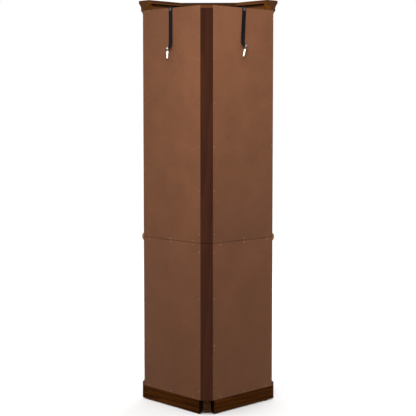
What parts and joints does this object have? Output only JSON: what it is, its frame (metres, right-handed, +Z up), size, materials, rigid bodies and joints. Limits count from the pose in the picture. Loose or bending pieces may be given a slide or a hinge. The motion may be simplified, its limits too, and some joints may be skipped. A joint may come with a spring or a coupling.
{
  "type": "corner display cabinet",
  "caption": "Tall two-part corner cabinet with a glazed display above lined jewelry drawers and a cupboard, nailed hardboard backs, crown, plinth and anti-tip straps.",
  "frame": {"origin": "on the floor, at the centre of the cabinet's bounding box", "axes": "+Z up; the doors face -Y; the chamfered back corner points to +Y; +X is the right-hand side seen from the front"},
  "size_m": [0.6816, 0.4822, 1.981],
  "materials": {
    "stained_wood": "satin stained walnut-brown hardwood",
    "edge_wood": "golden-brown stained board",
    "post_wood": "dark stained strip",
    "plinth_wood": "very dark stained board with open grain",
    "plain_wood": "clear sealed drawer wood",
    "chipboard": "speckled raw board",
    "hardboard": "brown painted hardboard, matt",
    "nail_brass": "small nail heads",
    "zinc": "zinc plated",
    "antique_brass": "aged brass",
    "clear_glass": "clear",
    "mirror": "silvered",
    "webbing": "black woven webbing",
    "white_plastic": "moulded",
    "glide_plastic": "moulded",
    "catch_plastic": "brown moulded",
    "velvet": "wine-red velvet"
  },
  "bodies": {
    "cabinet": {"plinth_mouldings": "plinth_wood", "plinth_back_boards": "plinth_wood", "plinth_corner_block": "chipboard", "floor_glides": "glide_plastic", "base_bottom_panel": "stained_wood", "base_top_panel": "stained_wood", "base_sides": "stained_wood", "base_front_posts": "stained_wood", "base_back_post": "post_wood", "base_back_panel_left": "hardboard", "base_back_panel_right": "hardboard", "base_front_rails": "stained_wood", "drawer_decks": "plain_wood", "drawer_guides": "plain_wood", "base_shelf": "stained_wood", "shelf_pins": "zinc", "waist_moulding": "stained_wood", "upper_bottom_panel": "stained_wood", "roof_panel": "edge_wood", "upper_side_frame_left": "stained_wood", "upper_side_frame_right": "stained_wood", "side_glass": "clear_glass", "upper_front_posts": "stained_wood", "upper_header_rail": "stained_wood", "upper_back_post": "post_wood", "upper_back_panel_left": "hardboard", "upper_back_panel_right": "hardboard", "mirrors": "mirror", "glass_shelves": "clear_glass", "crown_moulding": "stained_wood", "crown_cap_frame": "stained_wood", "crown_end_blocks": "stained_wood", "panel_nails": "nail_brass", "hinge_plates": "antique_brass", "hinge_pins": "antique_brass", "magnetic_catches": "catch_plastic", "strap_screws": "zinc", "strap_left": "webbing", "strap_right": "webbing", "anchor_screw_left": "zinc", "anchor_screw_right": "zinc", "wall_plug_left": "white_plastic", "wall_plug_right": "white_plastic"},
    "upper_door": {"upper_door_frame": "stained_wood", "upper_door_glass": "clear_glass", "upper_door_hinges": "antique_brass", "upper_door_knob": "antique_brass"},
    "lower_door": {"lower_door_frame": "stained_wood", "lower_door_panel": "stained_wood", "lower_door_hinges": "antique_brass", "lower_door_knob": "antique_brass"},
    "top_drawer": {"top_drawer_front": "stained_wood", "top_drawer_box": "plain_wood", "top_drawer_knob": "antique_brass", "top_drawer_ring_pad": "velvet"},
    "second_drawer": {"second_drawer_front": "stained_wood", "second_drawer_box": "plain_wood", "second_drawer_knob": "antique_brass", "second_drawer_tray": "velvet"}
  },
  "joints": [
    {"name": "upper_door_hinge", "type": "hinge", "parent": "cabinet", "child": "upper_door", "pos_m": [-0.12798, -0.21452, 1.358], "axis": [0, 0, -1], "range_deg": [0, 135]},
    {"name": "lower_door_hinge", "type": "hinge", "parent": "cabinet", "child": "lower_door", "pos_m": [-0.12798, -0.21452, 0.338], "axis": [0, 0, -1], "range_deg": [0, 135]},
    {"name": "top_drawer_slide", "type": "slide", "parent": "cabinet", "child": "top_drawer", "axis": [0, -1, 0], "range_m": [0, 0.22]},
    {"name": "second_drawer_slide", "type": "slide", "parent": "cabinet", "child": "second_drawer", "axis": [0, -1, 0], "range_m": [0, 0.22]}
  ]
}
